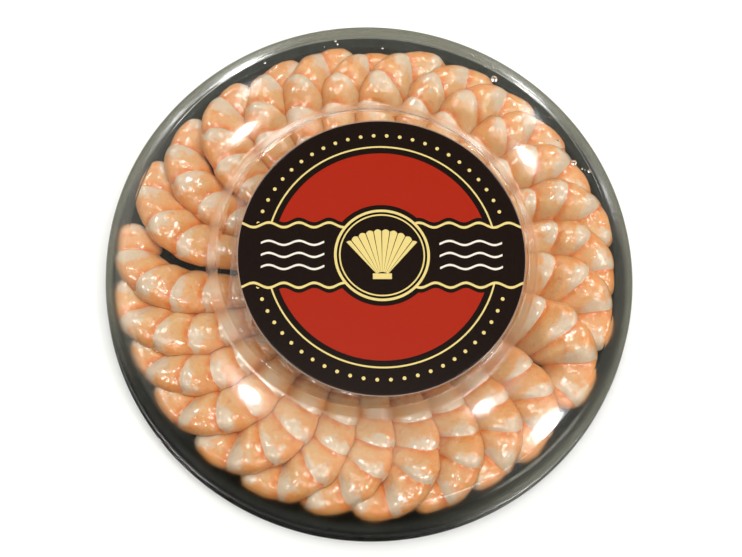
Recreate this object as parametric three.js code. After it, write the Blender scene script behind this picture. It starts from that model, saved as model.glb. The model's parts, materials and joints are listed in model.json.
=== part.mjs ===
// A shut round pack of cooked prawns: a black tray, a clear domed lid with a raised middle that
// carries a round label, a ring of prawns laid like roof tiles, and a flat sachet of sauce.
// Millimetres, +Z up, origin at the middle of the underside. +Y is the top of the label.

import * as THREE from 'three';

// ---------------------------------------------------------------- driving dimensions

const ROUND_SEGMENTS = 56;        // facets round the tray, the lid and the label
const CONTACT_GAP = 0.3;          // left between pieces that rest on each other

// Tray, from the foot outwards and up.
const TRAY_WALL = 1.0;
const TRAY_FOOT_RADIUS = 89;
const TRAY_FOOT_FILLET = 4;
const TRAY_WALL_TOP_RADIUS = 94.4;
const TRAY_RIM_RADIUS = 98.6;
const TRAY_RIM_TOP = 9.4;
const TRAY_LIP_DROP = 2.4;        // how far the rim's edge turns down

// Lid, from the skirt's lip inwards and up.
const LID_WALL = 0.7;
const LID_LIP_RADIUS = 100;
const LID_LIP_BOTTOM = 4.0;
const LID_LIP_HEIGHT = 0.7;
const LID_SKIRT_RADIUS = 99.6;
const LID_LEDGE_TOP = 10.6;       // outer height of the step that sits on the tray's rim
const LID_SIDE_RADIUS = 98.9;
const SHOULDER_RADIUS = 11.5;     // rounding between the upright side and the crease
const SHOULDER_HEIGHT = 17.8;     // height of the rounding's centre
const CREASE_SLOPE = 35;          // degrees, of the rounding where it meets the dome in a crease
const DOME_OUTER_SLOPE = 16;      // degrees, of the dome at the crease
const DOME_INNER_SLOPE = 4;       // degrees, at the foot of the raised middle
const PLATEAU_FOOT_RADIUS = 60.2;
const PLATEAU_EDGE_RADIUS = 57.2;
const PLATEAU_STEP = 2.2;         // rise from the dome to the raised middle
const BEAD_RADIUS = 56.3;         // fine raised line round the label's flat
const BEAD_HEIGHT = 0.35;
const BEAD_HALF_WIDTH = 0.9;

// Label, stuck a little off centre.
const LABEL_RADIUS = 52.8;
const LABEL_THICKNESS = 0.4;
const LABEL_OFFSET_X = 3.2;
const LABEL_OFFSET_Y = -0.3;
const LABEL_GAP = 0.3;

// Prawns, each lying on its side with the back raised on its neighbour's curled tail. The list
// gives the bearing of each back, clockwise from the top of the label, half way out.
const PRAWN_BACKS = [
  -1.8, 12.0, 23.2, 36.0, 48.2, 61.3, 73.6, 85.4, 100.7, 120.7, 134.4, 147.6, 160.7,
  175.4, 188.5, 201.9, 217.6, 232.3, 245.4, 259.1, 275.7, 290.0, 304.0, 321.0, 334.0, 346.0,
];
const GAP_AFTER = new Map([[8, 2.6], [19, 4.2]]);  // bare tray shows after these, in degrees
const MEAN_PITCH = 360 / PRAWN_BACKS.length;
const NECK_RING_RADIUS = 47;      // where the cut necks start, under the label
const NECK_LEAD = 2.4;            // degrees from the neck's bearing to the middle of the body
const PRAWN_LENGTH = 50;          // along the curled middle line
const CURL_TURN = 111;            // degrees that the body turns on its way to the tail
const CURL_POWER = 2.6;           // keeps the neck straight and the tail tightly curled
const PRAWN_TILT = 32;            // degrees from lying flat
const BODY_HALF_DEPTH = 9.2;      // belly to back
const BODY_HALF_WIDTH = 5.7;      // side to side
const NECK_SHARE = 0.55;          // the squeezed neck's section against the thickest one
const TAIL_SHARE = 0.75;          // the same for the tail, before it rounds off
const BACK_LIFT = 4.4;            // rise of the thick middle over the neighbour's tail
const TAIL_DROP = 3.4;            // dip of the tail under the next one's back
const BODY_RINGS = 4;             // segments between the rounded ends
const RING_STEPS = [0, 0.35, 0.75];  // places in a segment: its groove, its slope, its crest
const RING_GROOVE = 0.09;         // depth of a groove, as a share of the section
const RING_BOW = 0.08;            // how far a segment's edge reaches out along the back
const RING_BOW_TURN = 35;         // degrees from the back to the edge's furthest point
const NECK_ROUNDING = 0.05;       // shares of the length that the rounded ends take
const TAIL_ROUNDING = 0.1;
const PRAWN_SIDES = 10;

// Sauce sachet, flat on the necks.
const SACHET_LENGTH = 98;
const SACHET_WIDTH = 64;
const SACHET_CENTRE_X = -3.5;
const SACHET_CENTRE_Y = 1.5;
const SACHET_TURN = -5;           // degrees
const SACHET_SEAM_HEIGHT = 13.5;  // middle of the seam, on top of the necks
const SACHET_SEAM_HALF = 0.35;
const SACHET_BULGE = 5.2;
const SACHET_SAG = 2.0;           // how far the middle hangs between the necks
const SACHET_STEPS_X = 12;
const SACHET_STEPS_Y = 8;

const COLOURS = {
  tray: 0x14160f,
  lid: 0xdfe6e2,
  label: 0x23120e,
  prawn: 0xe6a275,
  sachet: 0xc9b6a0,
};

// ---------------------------------------------------------------- helpers

const rad = THREE.MathUtils.degToRad;
const lerp = THREE.MathUtils.lerp;
const smooth = THREE.MathUtils.smoothstep;

// A steady value from 0 to 1 for each prawn and each use.
function vary(index, use) {
  const wave = Math.sin(index * 12.9898 + use * 78.233) * 43758.5453;
  return wave - Math.floor(wave);
}

function arc(centreR, centreZ, radius, fromDeg, toDeg, steps) {
  const points = [];
  for (let i = 0; i <= steps; i += 1) {
    const angle = rad(lerp(fromDeg, toDeg, i / steps));
    points.push([centreR + radius * Math.cos(angle), centreZ + radius * Math.sin(angle)]);
  }
  return points;
}

function plastic(colour, roughness, opacity = 1) {
  return new THREE.MeshStandardMaterial({
    color: colour,
    roughness,
    metalness: 0,
    opacity,
    transparent: opacity < 1,
  });
}

// Turns a profile of [radius, height] pairs, from the axis round to the axis, into a solid.
function turned(profile) {
  const points = profile.map(([r, z]) => new THREE.Vector2(r, z));
  return new THREE.LatheGeometry(points, ROUND_SEGMENTS).rotateX(Math.PI / 2);
}

function addMesh(group, name, geometry, material) {
  const mesh = new THREE.Mesh(geometry, material);
  mesh.name = name;
  group.add(mesh);
}

// ---------------------------------------------------------------- tray

function trayGeometry() {
  const underRim = TRAY_RIM_TOP - TRAY_WALL;
  const lipBottom = TRAY_RIM_TOP - TRAY_WALL - TRAY_LIP_DROP;
  const innerFoot = TRAY_FOOT_RADIUS - TRAY_WALL;
  const profile = [
    [0, 0],
    ...arc(TRAY_FOOT_RADIUS, TRAY_FOOT_FILLET, TRAY_FOOT_FILLET, -90, -40, 2),
    [TRAY_WALL_TOP_RADIUS, underRim],
    [TRAY_RIM_RADIUS - TRAY_WALL, underRim],
    [TRAY_RIM_RADIUS - TRAY_WALL, lipBottom],
    [TRAY_RIM_RADIUS, lipBottom],
    ...arc(TRAY_RIM_RADIUS - TRAY_WALL, TRAY_RIM_TOP - TRAY_WALL, TRAY_WALL, 0, 90, 2),
    [TRAY_WALL_TOP_RADIUS, TRAY_RIM_TOP],
    [TRAY_WALL_TOP_RADIUS - TRAY_WALL, underRim],
    ...arc(innerFoot, TRAY_FOOT_FILLET + TRAY_WALL, TRAY_FOOT_FILLET, -40, -90, 2),
    [0, TRAY_WALL],
  ];
  return turned(profile);
}

// ---------------------------------------------------------------- lid

// The crease, where the rounding's upper end meets the dome.
const SHOULDER_CENTRE_RADIUS = LID_SIDE_RADIUS - SHOULDER_RADIUS;
const CREASE_RADIUS = SHOULDER_CENTRE_RADIUS + SHOULDER_RADIUS * Math.sin(rad(CREASE_SLOPE));
const CREASE_HEIGHT = SHOULDER_HEIGHT + SHOULDER_RADIUS * Math.cos(rad(CREASE_SLOPE));

// Height of the dome's outside: its slope grows evenly from the middle outwards.
function domeHeight(radius) {
  const reach = CREASE_RADIUS - PLATEAU_FOOT_RADIUS;
  const inner = Math.tan(rad(DOME_INNER_SLOPE));
  const outer = Math.tan(rad(DOME_OUTER_SLOPE));
  const run = CREASE_RADIUS - radius;
  return CREASE_HEIGHT + outer * run - (outer - inner) * run * run / (2 * reach);
}

const PLATEAU_HEIGHT = domeHeight(PLATEAU_FOOT_RADIUS) + PLATEAU_STEP;

// The lid's outside from the axis to the top of the upright side, moved in by the given depth.
function lidTop(depth) {
  const domeSteps = 3;
  const roundingSteps = 3;
  const points = [
    [0, PLATEAU_HEIGHT - depth],
    [BEAD_RADIUS - BEAD_HALF_WIDTH, PLATEAU_HEIGHT - depth],
    [BEAD_RADIUS, PLATEAU_HEIGHT + BEAD_HEIGHT - depth],
    [PLATEAU_EDGE_RADIUS, PLATEAU_HEIGHT - depth],
  ];
  for (let i = 0; i < domeSteps; i += 1) {
    const radius = lerp(PLATEAU_FOOT_RADIUS, CREASE_RADIUS, i / domeSteps);
    points.push([radius, domeHeight(radius) - depth]);
  }
  const rounding = arc(SHOULDER_CENTRE_RADIUS, SHOULDER_HEIGHT, SHOULDER_RADIUS - depth,
    90 - CREASE_SLOPE, 0, roundingSteps);
  return points.concat(rounding);
}

function lidGeometry() {
  const innerSide = LID_SIDE_RADIUS - LID_WALL;
  const innerSkirt = LID_SKIRT_RADIUS - LID_WALL;
  const ledgeUnder = TRAY_RIM_TOP + CONTACT_GAP;
  const skirt = [
    [LID_SIDE_RADIUS, LID_LEDGE_TOP + LID_WALL],
    [LID_SKIRT_RADIUS, LID_LEDGE_TOP],
    [LID_SKIRT_RADIUS, LID_LIP_BOTTOM + 2 * LID_LIP_HEIGHT],
    [LID_LIP_RADIUS, LID_LIP_BOTTOM + LID_LIP_HEIGHT],
    [LID_LIP_RADIUS, LID_LIP_BOTTOM],
    [innerSkirt, LID_LIP_BOTTOM],
    [innerSkirt, ledgeUnder],
    [innerSide, ledgeUnder],
  ];
  const profile = [...lidTop(0), ...skirt, ...lidTop(LID_WALL).reverse()];
  return turned(profile.reverse());
}

// ---------------------------------------------------------------- label

function labelGeometry() {
  const bottom = PLATEAU_HEIGHT + LABEL_GAP;
  const top = bottom + LABEL_THICKNESS;
  const disc = turned([[0, bottom], [LABEL_RADIUS, bottom], [LABEL_RADIUS, top], [0, top]]);
  return disc.translate(LABEL_OFFSET_X, LABEL_OFFSET_Y, 0);
}

// ---------------------------------------------------------------- prawns

// The bearing, width share and own variations of one prawn.
function prawnShape(index) {
  const back = PRAWN_BACKS[index];
  const next = index + 1 < PRAWN_BACKS.length ? PRAWN_BACKS[index + 1] : PRAWN_BACKS[0] + 360;
  const belly = next - (GAP_AFTER.get(index) ?? 0);
  return {
    startAngle: rad((back + belly) / 2 - NECK_LEAD),
    width: (belly - back) / MEAN_PITCH,
    length: PRAWN_LENGTH * (0.98 + 0.04 * vary(index, 1)),
    turn: CURL_TURN * (0.95 + 0.08 * vary(index, 2)),
    tilt: rad(PRAWN_TILT + 4 * (vary(index, 3) - 0.5)),
    ringShift: 0.03 * (vary(index, 4) - 0.5),
  };
}

// Places along the body, 0 at the neck and 1 at the tail's tip.
function stationPlaces(shape) {
  const places = [0, 0.25 * NECK_ROUNDING];
  const pitch = (1 - NECK_ROUNDING - TAIL_ROUNDING) / BODY_RINGS;
  for (let ring = 0; ring < BODY_RINGS; ring += 1) {
    for (const step of RING_STEPS) {
      places.push(NECK_ROUNDING + pitch * (ring + step) + shape.ringShift);
    }
  }
  places.push(1 - TAIL_ROUNDING, 1 - 0.5 * TAIL_ROUNDING, 1 - 0.12 * TAIL_ROUNDING, 1);
  return places;
}

// Share of the full section at a station: thin at the neck, with a groove after each segment.
function bodyShare(station, shape) {
  const growth = lerp(NECK_SHARE, 1, smooth(station, 0, 0.55));
  const tail = lerp(1, TAIL_SHARE, smooth(station, 0.6, 1));
  const pitch = (1 - NECK_ROUNDING - TAIL_ROUNDING) / BODY_RINGS;
  const place = Math.max(0, (station - NECK_ROUNDING - shape.ringShift) / pitch);
  const crest = Math.sin(Math.PI * (1 - place % 1) ** 0.6);
  return growth * tail * (1 - RING_GROOVE * (1 - crest));
}

// Share that closes both ends with a rounded cap.
function endShare(station) {
  const fromNeck = Math.min(1, station / NECK_ROUNDING);
  const fromTail = Math.min(1, (1 - station) / TAIL_ROUNDING);
  return Math.sqrt(1 - (1 - fromNeck) ** 2) * Math.sqrt(1 - (1 - fromTail) ** 2);
}

// Where a station's edge lies at a turn round the section: furthest out a little off the back.
function bowedPlace(station, turn) {
  const fade = smooth(station, 0, 0.25) * (1 - smooth(station, 0.8, 1));
  const fromTip = Math.min(turn, 2 * Math.PI - turn) - rad(RING_BOW_TURN);
  return station - RING_BOW * fade * 0.5 * (1 - Math.cos(fromTip));
}

// The middle line as a function of the place along it, walked in small steps from the neck.
function middleLine(shape) {
  const walkSteps = 200;
  const step = shape.length / walkSteps;
  const points = [];
  let x = NECK_RING_RADIUS * Math.sin(shape.startAngle);
  let y = NECK_RING_RADIUS * Math.cos(shape.startAngle);
  for (let i = 0; i <= walkSteps; i += 1) {
    const heading = shape.startAngle + rad(shape.turn) * (i / walkSteps) ** CURL_POWER;
    points.push({ x, y, heading });
    x += step * Math.sin(heading);
    y += step * Math.cos(heading);
  }
  return (along) => points[Math.round(along * walkSteps)];
}

function prawnGeometry(index) {
  const shape = prawnShape(index);
  const line = middleLine(shape);
  const stations = stationPlaces(shape);
  const positions = [];
  const sideways = Math.sin(shape.tilt);
  const upright = Math.cos(shape.tilt);
  for (const station of stations) {
    const share = bodyShare(station, shape);
    const depth = BODY_HALF_DEPTH * shape.width * share;
    const width = BODY_HALF_WIDTH * share;
    const close = endShare(station);
    for (let side = 0; side < PRAWN_SIDES; side += 1) {
      const turn = 2 * Math.PI * side / PRAWN_SIDES;
      const along = bowedPlace(station, turn);
      const { x, y, heading } = line(along);
      const halfHeight = Math.hypot(depth * sideways, width * upright);
      const lift = BACK_LIFT * smooth(along, 0.35, 0.7) - TAIL_DROP * smooth(along, 0.7, 1);
      const z = TRAY_WALL + CONTACT_GAP + halfHeight + lift;
      // The back points to the left of the heading and up.
      const toBack = close * depth * Math.cos(turn);
      const toTop = close * width * Math.sin(turn);
      const out = toBack * upright - toTop * sideways;
      const up = toBack * sideways + toTop * upright;
      positions.push(x - Math.cos(heading) * out, y + Math.sin(heading) * out, z + up);
    }
  }
  return tubeFromRings(positions, stations.length, PRAWN_SIDES);
}

// Joins rings of points into one closed skin. The first and last ring are single points.
function tubeFromRings(positions, rings, sides) {
  const vertices = positions.slice(0, 3);
  for (let i = sides; i < (rings - 1) * sides; i += 1) {
    vertices.push(positions[3 * i], positions[3 * i + 1], positions[3 * i + 2]);
  }
  const lastPoint = 3 * (rings - 1) * sides;
  vertices.push(positions[lastPoint], positions[lastPoint + 1], positions[lastPoint + 2]);
  const tip = vertices.length / 3 - 1;
  const faces = [];
  for (let side = 0; side < sides; side += 1) {
    const nextSide = (side + 1) % sides;
    faces.push(0, 1 + nextSide, 1 + side);
    for (let ring = 0; ring < rings - 3; ring += 1) {
      const low = 1 + ring * sides;
      const high = low + sides;
      faces.push(low + side, low + nextSide, high + nextSide);
      faces.push(low + side, high + nextSide, high + side);
    }
    const last = 1 + (rings - 3) * sides;
    faces.push(last + side, last + nextSide, tip);
  }
  const geometry = new THREE.BufferGeometry();
  geometry.setAttribute('position', new THREE.Float32BufferAttribute(vertices, 3));
  geometry.setIndex(faces);
  geometry.computeVertexNormals();
  return geometry;
}

// ---------------------------------------------------------------- sauce sachet

// Bends a thin box into a pouch: pinched seams, a full middle and a slight sag.
function sachetGeometry() {
  const box = new THREE.BoxGeometry(SACHET_LENGTH, SACHET_WIDTH, 2 * SACHET_SEAM_HALF,
    SACHET_STEPS_X, SACHET_STEPS_Y, 1);
  const position = box.getAttribute('position');
  for (let i = 0; i < position.count; i += 1) {
    const across = 2 * position.getX(i) / SACHET_LENGTH;
    const along = 2 * position.getY(i) / SACHET_WIDTH;
    const fill = Math.max(0, 1 - across ** 2) * Math.max(0, 1 - along ** 2);
    const side = Math.sign(position.getZ(i));
    const half = SACHET_SEAM_HALF + SACHET_BULGE * fill ** 0.7;
    const sag = SACHET_SAG * (1 - across ** 2);
    position.setZ(i, SACHET_SEAM_HEIGHT - sag + side * half);
  }
  box.rotateZ(rad(SACHET_TURN));
  return box.translate(SACHET_CENTRE_X, SACHET_CENTRE_Y, 0);
}

// ---------------------------------------------------------------- the pack

function buildPack() {
  const pack = new THREE.Group();
  const prawnFlesh = plastic(COLOURS.prawn, 0.35);
  addMesh(pack, 'tray', trayGeometry(), plastic(COLOURS.tray, 0.25));
  addMesh(pack, 'lid', lidGeometry(), plastic(COLOURS.lid, 0.05, 0.3));
  addMesh(pack, 'label', labelGeometry(), plastic(COLOURS.label, 0.4));
  addMesh(pack, 'sauce_sachet', sachetGeometry(), plastic(COLOURS.sachet, 0.2));
  for (let index = 0; index < PRAWN_BACKS.length; index += 1) {
    const name = `prawn_${String(index + 1).padStart(2, '0')}`;
    addMesh(pack, name, prawnGeometry(index), prawnFlesh);
  }
  return pack;
}

export default buildPack();
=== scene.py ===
import json
import random
from math import asin, atan, cos, degrees, pi, radians, sin, tan

import bpy
import numpy as np
from mathutils import Matrix, Vector, noise
from mathutils.bvhtree import BVHTree

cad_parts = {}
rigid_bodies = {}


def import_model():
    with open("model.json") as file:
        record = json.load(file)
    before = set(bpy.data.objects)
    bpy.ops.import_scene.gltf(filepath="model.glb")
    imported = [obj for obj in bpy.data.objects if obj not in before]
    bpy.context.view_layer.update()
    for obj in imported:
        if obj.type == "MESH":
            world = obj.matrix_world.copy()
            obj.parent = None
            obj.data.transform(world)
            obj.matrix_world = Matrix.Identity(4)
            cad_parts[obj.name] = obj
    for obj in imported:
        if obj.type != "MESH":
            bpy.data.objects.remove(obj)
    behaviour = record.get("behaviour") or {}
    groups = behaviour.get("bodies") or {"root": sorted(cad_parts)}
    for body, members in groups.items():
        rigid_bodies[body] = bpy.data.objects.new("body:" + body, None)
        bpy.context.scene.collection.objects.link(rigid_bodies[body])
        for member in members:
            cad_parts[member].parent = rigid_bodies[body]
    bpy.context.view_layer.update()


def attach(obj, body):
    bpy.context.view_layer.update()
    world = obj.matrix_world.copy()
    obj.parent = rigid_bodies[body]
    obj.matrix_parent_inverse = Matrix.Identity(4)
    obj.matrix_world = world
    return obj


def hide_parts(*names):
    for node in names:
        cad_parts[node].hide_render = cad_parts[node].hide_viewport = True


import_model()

# The looks of a shut pack of cooked prawns: a black tray, a clear lid with a round label, a ring
# of prawns and a sachet of sauce. Sizes are in millimetres and angles in degrees, as in the
# part's own source, and become metres where a mesh is made.

MM = 0.001

# ----- sizes shared with the solids

CONTACT_GAP = 0.3

TRAY_WALL = 1.0
TRAY_FOOT_RADIUS = 89
TRAY_FOOT_FILLET = 4
TRAY_WALL_TOP_RADIUS = 94.4
TRAY_RIM_RADIUS = 98.6
TRAY_RIM_TOP = 9.4
TRAY_LIP_DROP = 2.4

LID_WALL = 0.7
LID_LIP_RADIUS = 100
LID_LIP_BOTTOM = 4.0
LID_LIP_HEIGHT = 0.7
LID_SKIRT_RADIUS = 99.6
LID_LEDGE_TOP = 10.6
LID_SIDE_RADIUS = 98.9
SHOULDER_RADIUS = 11.5
SHOULDER_HEIGHT = 17.8
CREASE_SLOPE = 35
DOME_OUTER_SLOPE = 16
DOME_INNER_SLOPE = 4
PLATEAU_FOOT_RADIUS = 60.2
PLATEAU_EDGE_RADIUS = 57.2
PLATEAU_STEP = 2.2
BEAD_RADIUS = 56.3
BEAD_HEIGHT = 0.35
BEAD_HALF_WIDTH = 0.9

LABEL_RADIUS = 52.8
LABEL_OFFSET_X = 3.2
LABEL_OFFSET_Y = -0.3

PRAWN_BACKS = [
    -1.8, 12.0, 23.2, 36.0, 48.2, 61.3, 73.6, 85.4, 100.7, 120.7, 134.4, 147.6, 160.7,
    175.4, 188.5, 201.9, 217.6, 232.3, 245.4, 259.1, 275.7, 290.0, 304.0, 321.0, 334.0, 346.0,
]
MEAN_PITCH = 360 / len(PRAWN_BACKS)
NECK_LEAD = 2.4  # degrees from the neck's bearing to the middle of the body
PRAWN_LENGTH = 50
CURL_TURN = 111
CURL_POWER = 2.6
PRAWN_TILT = 32
BODY_HALF_DEPTH = 9.2
BODY_HALF_WIDTH = 5.7
BACK_LIFT = 4.4
TAIL_DROP = 3.4
RING_START = 0.05  # share of the length before the first whole segment
RING_PITCH = 0.2125  # length of a segment, as a share of the prawn's

SACHET_LENGTH = 98
SACHET_WIDTH = 64
SACHET_CENTRE_X = -3.5
SACHET_CENTRE_Y = 1.5
SACHET_TURN = -5
SACHET_SEAM_HEIGHT = 13.5
SACHET_BULGE = 5.2
SACHET_SAG = 2.0

# ----- sizes of the fine surface

TRAY_SIDES = 192
TRAY_WALL_TURN = -40  # where the foot's rounding meets the wall

LID_SIDES = 256
FLAT_PITCH = 6  # between points on the raised middle
BEAD_STEPS = 4  # over half the bead
EDGE_FILLET = 1.0  # of the raised middle's edge and foot
FOLD_RADIUS = 90.5  # where the dome folds into the shoulder
FOLD_SLOPE = 24
FOLD_FILLET = 2.5
DOME_STEPS = 26  # along the dome, and along the shoulder
LEDGE_RISE = 0.9  # height of the slope from the skirt in to the side
LEDGE_FILLETS = (0.25, 0.3, 0.2, 0.15)  # from that slope's top down to the lip
LID_WAVE = 0.020  # how far the thin lid is out of true
WAVE_START = LABEL_RADIUS + 4  # the label lies on a true flat

LABEL_PAPER = 0.25

PRAWN_STATIONS = 121
PRAWN_TURNS = 48
GAP_AFTER = {8: 2.6, 19: 2.4}  # bare tray shows after these, in degrees
NECK_RING_RADIUS = 46
NECK_END = -0.10  # the shown prawns run on under the label and each other
TAIL_END = 1.15
TAIL_CURL = 1.3
PLUMPNESS = 1.12
NECK_SHARE = 0.72  # the neck's section against the thickest one
NECK_GROWTH = (0, 0.55)  # this and the next pairs are shares of the length
TAIL_SHARE = 0.88
TAIL_TAPER = (0.6, 1)
NECK_ROUNDING = 0.06
TAIL_ROUNDING = 0.12
BACK_LIFT_RUN = (0.35, 0.7)
TAIL_DROP_RUN = (0.7, 1)
RING_GROOVE = 0.085
RING_CREST_POWER = 0.68  # the smaller, the nearer the crest is to the segment's far end
RING_FULLNESS = 0.95
RING_BOW = 0.18  # how far a segment's edge reaches out
RING_BOW_TURN = 46  # from the back to the edge's furthest point
BOW_FADE_IN = (-0.1, 0.4)
BOW_FADE_OUT = (0.8, 1)
LEAST_LENGTH = 0.95  # against the usual length
LENGTH_SPREAD = 0.09
LEAST_CURL = 0.92
CURL_SPREAD = 0.14
TILT_SPREAD = 8
RING_SPREAD = 0.10
SKIN_LUMP = 0.62  # height of the uneven surface over a segment
SKIN_LUMP_SIZE = 7.5
SKIN_GRAIN = 0.12  # height of the fibres' relief
SKIN_GRAIN_SIZE = 2.2
SKIN_SHIFT = 31.7  # between one prawn's relief and the next one's
SKIN_FULL = 0.3  # size of mesh patches, in mm2, with full relief
PRESS_GAP = 0.02  # left between two prawns after pressing
PRESS_ROUNDS = 2
PRESS_REACH = 9.0
CLING_REACH = 0.9  # wet skins closer than this stick to each other
TRAY_GAP = 0.05  # between a prawn and the tray's floor
SACHET_REST = ((46, 52, 58), (11.2, 13.0, 30))  # radius, and how high a prawn reaches there
SIDE_ROOM = (  # height, and how far out a prawn reaches there
    (1, 9.4, 12, 20, 25, 27),
    (88.7, 93.1, 96.2, 96.2, 93.6, 91.0),
)
RING_SHIFT = (  # bearing, and how much further out than even the ring lies there
    (0, 30, 60, 90, 115, 145, 180, 210, 240, 268, 288, 320, 360),
    (0.8, 0, 1.4, -0.8, -2.4, 0.6, -0.8, -0.2, 2.2, 2.2, -1.4, -2.0, 0.8),
)

# ----- view and light

IMAGE_WIDTH = 742
FOCAL_PIXELS = 1593.2
SENSOR_WIDTH = 36
CAMERA_TILT = 17.0  # from straight down
CAMERA_SIDE = 9.14  # to the left of the near side
CAMERA_DISTANCE = 600
CAMERA_TARGET = (0.1, -2.7, 14.0)

# Where the lamps shine back from the lid: bearing clockwise from +Y and radius; then each lamp's
# width round the lid, its width across that, and its radiance.
GLINTS = [
    (-44.2, 68.7, 90, 70, 60),
    (55.8, 70.2, 70, 80, 60),
    (221.6, 68.0, 80, 90, 60),
    (145.5, 68.2, 55, 80, 60),
    (135.6, 87.9, 140, 120, 60),
    (39.8, 92.2, 170, 400, 9),
    (72.6, 92.4, 90, 350, 5),
    (-31.8, 92.2, 190, 600, 9),
    (152.0, 90.6, 900, 90, 10),
    (-52.0, 92.6, 130, 300, 4),
]
LAMP_DISTANCE = 1500
# The layers that give a lamp its soft edge: size and radiance, against the lamp's own.
LAMP_LAYERS = ((1.0, 1.0), (1.4, 0.06), (2.0, 0.025), (3.0, 0.012))
FILL_SIZE = 1500  # a soft lamp overhead, which gloss doesn't mirror
FILL_HEIGHT = 1600
FILL_RADIANCE = 3.4

# Small lamps that glint on the wet prawns alone: bearing and height above the horizon.
SHEEN_LAMPS = [(20, 56), (75, 46), (128, 62), (205, 70), (262, 54), (318, 44)]
SHEEN_SIZE = 130
SHEEN_RADIANCE = 130
PRAWN_FILL_RADIANCE = 2.8  # for the prawns alone, which the lid keeps too dark

# The room. Pairs are heights, from 0 at the horizon to 1 straight above.
ROOM_COLOUR = (1.0, 0.985, 0.85, 1.0)
ROOM_LIGHT = 0.62  # of the ceiling's outer part
CEILING_FADE = (0.55, 0.90)
OVERHEAD_SHARE = 0.35  # of the ceiling straight above, against its outer part
WALL_RISE = (0.05, 0.55)
WALL_SHARE = 0.5  # of the walls low down, against the ceiling
ZENITH_EDGE = (0.965, 0.990)
ZENITH_LIGHT = 1.1  # of a soft patch straight above
# Its sides: bearing, half the width, and the soft edge outwards and inwards, in cosines.
WINDOW = (285, 60, 0, 0.5)  # the lightest side of the room
WINDOW_TOP = (0.7, 0.9)
WINDOW_LIGHT = 0.8
DARK_SIDE = (207, 46, 0.25, 0.12)  # the side that the viewer shades
DARK_SIDE_TOP = (0.76, 0.94)
DARK_SIDE_DEPTH = 0.97
LOW_WINDOW = (127, 20, 0, 0.05)  # at the front right
LOW_WINDOW_FOOT = (0.0, 0.03)
LOW_WINDOW_TOP = (0.10, 0.18)
LOW_WINDOW_LIGHT = 4.0

FLOOR_HALF = 4000
FLOOR_HEIGHT = -0.1
FLOOR_SEEN = (0.86, 0.86, 0.86, 1)
FLOOR_MIRRORED = (0.21, 0.21, 0.165, 1)
FLOOR_SHADED = (0.01, 0.01, 0.01, 1)


# ----- numbers

def fraction(value):
    return value - np.floor(value)


def vary(index, use):
    """A steady value from 0 to 1 for each prawn and each use."""
    return float(fraction(sin(index * 12.9898 + use * 78.233) * 43758.5453))


def lerp(low, high, share):
    return low + (high - low) * share


def smooth(value, low, high):
    share = np.clip((value - low) / (high - low), 0, 1)
    return share * share * (3 - 2 * share)


def arc(centre_r, centre_z, radius, from_deg, to_deg, steps):
    angles = np.radians(np.linspace(from_deg, to_deg, steps + 1))
    return [(centre_r + radius * cos(a), centre_z + radius * sin(a)) for a in angles]


def bearing(turn):
    """The direction in plan at a bearing clockwise from +Y."""
    return Vector((sin(radians(turn)), cos(radians(turn)), 0))


# ----- meshes

def put_in_scene(name, data):
    thing = bpy.data.objects.new(name, data)
    bpy.context.scene.collection.objects.link(thing)
    return thing


def smooth_mesh(name, skin, material):
    """A mesh object of a skin, which is its points and its faces."""
    points, faces = skin
    mesh = bpy.data.meshes.new(name)
    mesh.from_pydata((np.asarray(points) * MM).tolist(), [], faces)
    mesh.shade_smooth()
    mesh.materials.append(material)
    return put_in_scene(name, mesh)


def make_piece(name, skin, material):
    """A mesh piece that rides on the pack's only body."""
    piece = smooth_mesh(name, skin, material)
    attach(piece, "root")
    return piece


def closed_skin(rings):
    """Points and faces of rings of points whose first and last ring are single points."""
    count, sides = rings.shape[:2]
    points = np.concatenate([rings[0, :1], rings[1:-1].reshape(-1, 3), rings[-1, :1]])
    tip = len(points) - 1
    faces = []
    for side in range(sides):
        beside = (side + 1) % sides
        faces.append((0, 1 + beside, 1 + side))
        for ring in range(count - 3):
            low = 1 + ring * sides
            high = low + sides
            faces.append((low + side, low + beside, high + beside, high + side))
        last = 1 + (count - 3) * sides
        faces.append((last + side, last + beside, tip))
    return points, faces


def turned(profile, sides):
    """Rings of points of a profile of (radius, height) pairs turned round the axis."""
    profile = np.asarray(profile, float)
    angles = np.linspace(0, 2 * np.pi, sides, endpoint=False)
    radius = profile[:, :1]
    height = np.repeat(profile[:, 1:], sides, axis=1)
    return np.stack([radius * np.cos(angles), radius * np.sin(angles), height], axis=2)


def rounded(corners, steps=6):
    """A line through (r, z, fillet) corners, with each fillet as an arc."""
    line = []
    for index, (r, z, fillet) in enumerate(corners):
        corner = Vector((r, z))
        if fillet == 0:
            line.append((r, z))
            continue
        back = Vector(corners[index - 1][:2]) - corner
        ahead = Vector(corners[index + 1][:2]) - corner
        half = back.angle(ahead) / 2
        cut = fillet / tan(half)
        centre = corner + (back.normalized() + ahead.normalized()).normalized() * fillet / sin(half)
        start = corner + back.normalized() * cut - centre
        end = corner + ahead.normalized() * cut - centre
        turn = start.angle_signed(end)
        for step in range(steps + 1):
            arm = start.copy()
            arm.rotate(Matrix.Rotation(-turn * step / steps, 2))
            line.append(tuple(centre + arm))
    return line


# ----- shader formulas

def linear(red, green, blue):
    """A colour given as it looks on a screen, from 0 to 255, as linear light."""
    share = np.array([red, green, blue]) / 255
    light = np.where(share <= 0.04045, share / 12.92, ((share + 0.055) / 1.055) ** 2.4)
    return (*[float(x) for x in light], 1.0)


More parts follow.
